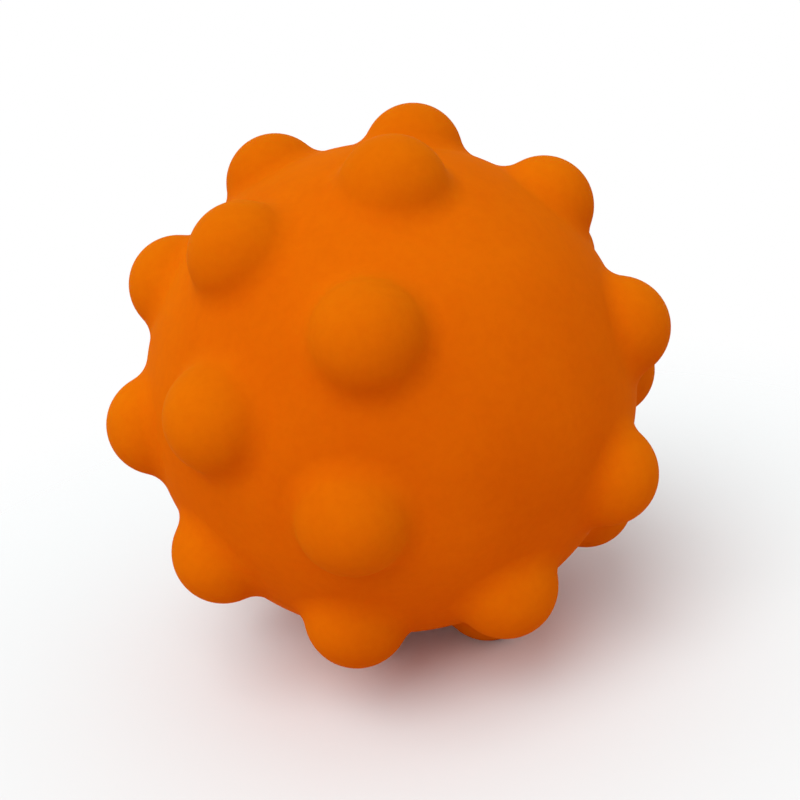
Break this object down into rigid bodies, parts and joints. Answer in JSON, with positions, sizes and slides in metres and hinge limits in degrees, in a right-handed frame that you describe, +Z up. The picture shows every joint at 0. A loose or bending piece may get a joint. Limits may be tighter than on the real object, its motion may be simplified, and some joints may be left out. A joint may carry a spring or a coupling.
{
  "type": "sensory ball",
  "caption": "Soft hollow sensory ball with rings of rounded nubs, one bare patch and a recessed reed squeaker; its front half flattens when squeezed and springs back.",
  "frame": {"origin": "the point of the floor under the ball's centre, when the ball stands on three nubs of its rear half", "axes": "+Z up; the front pole, with the single middle nub, faces -Y and about 30 degrees up; the squeaker faces +Y and down; +X is to the right seen from the front"},
  "size_m": [0.0722, 0.0736, 0.0703],
  "materials": {
    "orange_skin": "matte soft vinyl",
    "squeaker_plastic": "natural polyethylene",
    "reed_film": "thin satin film"
  },
  "bodies": {
    "ball": {"rear_half_skin": "orange_skin", "squeaker_body": "squeaker_plastic", "squeaker_cap": "squeaker_plastic", "reed_core": "squeaker_plastic", "reed_clamp": "squeaker_plastic"},
    "front_half": {"front_half_skin": "orange_skin"},
    "reed": {"reed": "reed_film"}
  },
  "joints": [
    {"name": "squeeze", "type": "slide", "parent": "ball", "child": "front_half", "axis": [0, 0.8608, -0.5089], "range_m": [0, 0.01], "stiffness_N_per_m": 1200, "deforming": ["front_half_skin"]},
    {"name": "reed_flutter", "type": "hinge", "parent": "ball", "child": "reed", "pos_m": [0, 0.02038, 0.02285], "axis": [1, 0, 0], "range_deg": [-1.5, 6], "stiffness_Nm_per_rad": 0.0001}
  ]
}
